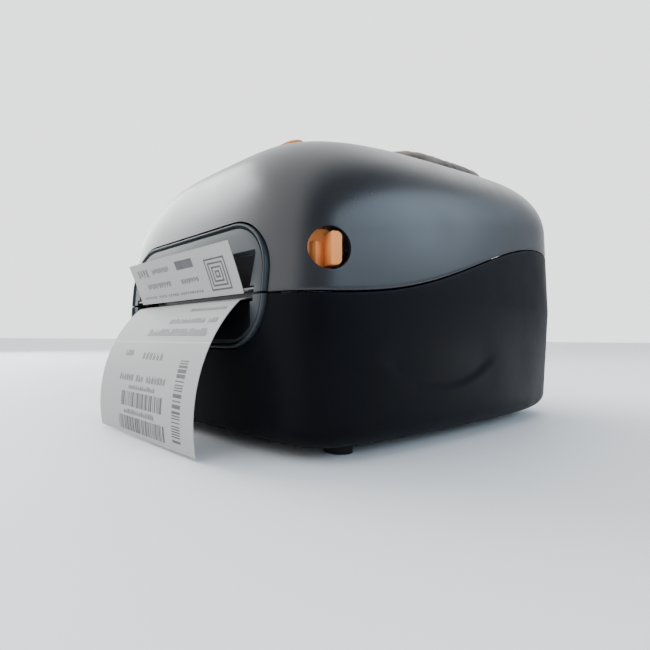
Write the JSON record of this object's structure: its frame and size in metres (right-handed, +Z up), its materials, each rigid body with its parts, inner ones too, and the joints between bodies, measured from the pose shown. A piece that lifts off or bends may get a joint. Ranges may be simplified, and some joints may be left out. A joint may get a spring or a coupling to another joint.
{
  "type": "desktop label maker",
  "caption": "Desktop thermal-transfer label maker: hinged clamshell case round a label roll, platen roller, print head and ink ribbon, with side latches and a front slot.",
  "frame": {"origin": "middle of the whole object's footprint, on the table", "axes": "+Z up, front with the label slot towards -Y, +X to the right of a viewer who faces the front"},
  "size_m": [0.2212, 0.3146, 0.1905],
  "materials": {
    "case_plastic": "satin textured",
    "cover_plastic": "satin textured",
    "bezel_plastic": "satin",
    "window_plastic": "smoked, dusty",
    "orange_plastic": "satin",
    "inner_plastic": "moulded",
    "gear_plastic": "natural acetal",
    "foot_rubber": "matte",
    "platen_rubber": "ground",
    "bare_steel": "plain",
    "zinc_sheet": "zinc plated sheet",
    "head_aluminium": "extruded heat sink",
    "pinion_brass": "machined",
    "board": "solder mask",
    "label_paper": "coated label stock",
    "core_card": "wound card",
    "ribbon_ink": "wax ribbon",
    "cable_film": "flat cable",
    "led_clear": "light pipe",
    "rocker_plastic": "satin"
  },
  "bodies": {
    "case": {"lower_case": "case_plastic", "lower_bezel": "bezel_plastic", "rubber_feet": "foot_rubber", "base_hinges": "inner_plastic", "hinge_pins": "bare_steel", "media_deck": "inner_plastic", "side_frame_left": "zinc_sheet", "side_frame_right": "zinc_sheet", "latch_catches": "zinc_sheet", "platen_bushes": "gear_plastic", "guide_bar": "bare_steel", "sensor_rail": "bare_steel", "stepper_motor": "zinc_sheet", "main_board": "board", "power_inlet": "rocker_plastic", "usb_socket": "bare_steel", "switch_housing": "rocker_plastic", "case_screws": "bare_steel", "label_web": "label_paper"},
    "platen": {"platen_rubber": "platen_rubber", "platen_shaft": "bare_steel", "platen_gear": "gear_plastic"},
    "idler": {"idler_gear": "gear_plastic"},
    "motor_shaft": {"motor_pinion": "pinion_brass"},
    "sensor": {"gap_sensor": "inner_plastic"},
    "roll": {"roll_core": "core_card", "label_roll": "label_paper"},
    "holder_left": {"roll_holder_left": "bezel_plastic"},
    "holder_right": {"roll_holder_right": "bezel_plastic"},
    "pinion": {"holder_pinion": "gear_plastic"},
    "rocker": {"power_rocker": "rocker_plastic"},
    "cover": {"top_cover": "cover_plastic", "cover_window": "window_plastic", "upper_bezel": "bezel_plastic", "tear_bar": "bare_steel", "cover_hinges": "inner_plastic", "ribbon_frame_left": "inner_plastic", "ribbon_frame_right": "inner_plastic", "head_bracket": "zinc_sheet", "cover_board": "board", "led_lenses": "led_clear", "printed_slip": "label_paper", "ribbon_film": "ribbon_ink", "head_cable": "cable_film"},
    "latch_left": {"latch_left": "orange_plastic"},
    "latch_right": {"latch_right": "orange_plastic"},
    "button": {"feed_button": "orange_plastic"},
    "head": {"print_head": "head_aluminium", "head_springs": "bare_steel"},
    "supply": {"supply_core": "gear_plastic", "supply_ribbon": "ribbon_ink"},
    "takeup": {"takeup_core": "gear_plastic", "takeup_ribbon": "ribbon_ink", "takeup_gear": "gear_plastic"},
    "ribbon_idler": {"ribbon_gear": "gear_plastic"}
  },
  "joints": [
    {"name": "cover_hinge", "type": "hinge", "parent": "case", "child": "cover", "pos_m": [0, 0.1537, 0.1223], "axis": [-1, 0, 0], "range_deg": [0, 90]},
    {"name": "latch_left_slide", "type": "slide", "parent": "cover", "child": "latch_left", "axis": [-0.4384, 0.8988, 0], "range_m": [0, 0.002], "stiffness_N_per_m": 400, "springref_m": -0.003},
    {"name": "latch_right_slide", "type": "slide", "parent": "cover", "child": "latch_right", "axis": [0.4384, 0.8988, 0], "range_m": [0, 0.002], "stiffness_N_per_m": 400, "springref_m": -0.003},
    {"name": "feed_button_press", "type": "slide", "parent": "cover", "child": "button", "axis": [0, 0.2079, -0.9781], "range_m": [0, 0.0012], "stiffness_N_per_m": 500, "springref_m": -0.001},
    {"name": "head_pivot", "type": "hinge", "parent": "cover", "child": "head", "pos_m": [0, -0.0793, 0.092], "axis": [-1, 0, 0], "range_deg": [0, 3], "stiffness_Nm_per_rad": 12, "springref_deg": -8.59, "deforming": ["head_springs"]},
    {"name": "platen_spin", "type": "hinge", "parent": "case", "child": "platen", "pos_m": [0, -0.1113, 0.0664], "axis": [1, 0, 0], "continuous": true},
    {"name": "idler_spin", "type": "hinge", "parent": "case", "child": "idler", "pos_m": [0, -0.08082, 0.05348], "axis": [1, 0, 0], "continuous": true},
    {"name": "motor_spin", "type": "hinge", "parent": "case", "child": "motor_shaft", "pos_m": [0, -0.0673, 0.03], "axis": [1, 0, 0], "continuous": true},
    {"name": "ribbon_gear_spin", "type": "hinge", "parent": "cover", "child": "ribbon_idler", "pos_m": [0, -0.09641, 0.09023], "axis": [1, 0, 0], "continuous": true},
    {"name": "takeup_spin", "type": "hinge", "parent": "cover", "child": "takeup", "pos_m": [0, -0.07622, 0.12016], "axis": [1, 0, 0], "continuous": true},
    {"name": "supply_spin", "type": "hinge", "parent": "cover", "child": "supply", "pos_m": [0, -0.0293, 0.133], "axis": [1, 0, 0], "continuous": true},
    {"name": "roll_spin", "type": "hinge", "parent": "case", "child": "roll", "pos_m": [0, 0.0587, 0.08], "axis": [1, 0, 0], "continuous": true},
    {"name": "holder_right_slide", "type": "slide", "parent": "case", "child": "holder_right", "axis": [1, 0, 0], "range_m": [0, 0.005]},
    {"name": "holder_left_slide", "type": "slide", "parent": "case", "child": "holder_left", "axis": [-1, 0, 0], "range_m": [0, 0.005]},
    {"name": "holder_pinion_spin", "type": "hinge", "parent": "case", "child": "pinion", "pos_m": [0, 0.0587, 0.0175], "axis": [0, 0, 1], "range_deg": [0, 47.76]},
    {"name": "sensor_slide", "type": "slide", "parent": "case", "child": "sensor", "axis": [1, 0, 0], "range_m": [-0.026, 0.026]},
    {"name": "power_rocker_tilt", "type": "hinge", "parent": "case", "child": "rocker", "pos_m": [0, 0.1497, 0.037], "axis": [1, 0, 0], "range_deg": [0, 12]}
  ],
  "couplings": [
    {"joint": "idler_spin", "follows": "platen_spin", "ratio": -0.57143},
    {"joint": "motor_spin", "follows": "platen_spin", "ratio": 2},
    {"joint": "ribbon_gear_spin", "follows": "platen_spin", "ratio": -0.75},
    {"joint": "takeup_spin", "follows": "platen_spin", "ratio": 0.6},
    {"joint": "holder_left_slide", "follows": "holder_right_slide", "ratio": 1},
    {"joint": "holder_pinion_spin", "follows": "holder_right_slide", "rad_per_m": 166.67}
  ]
}
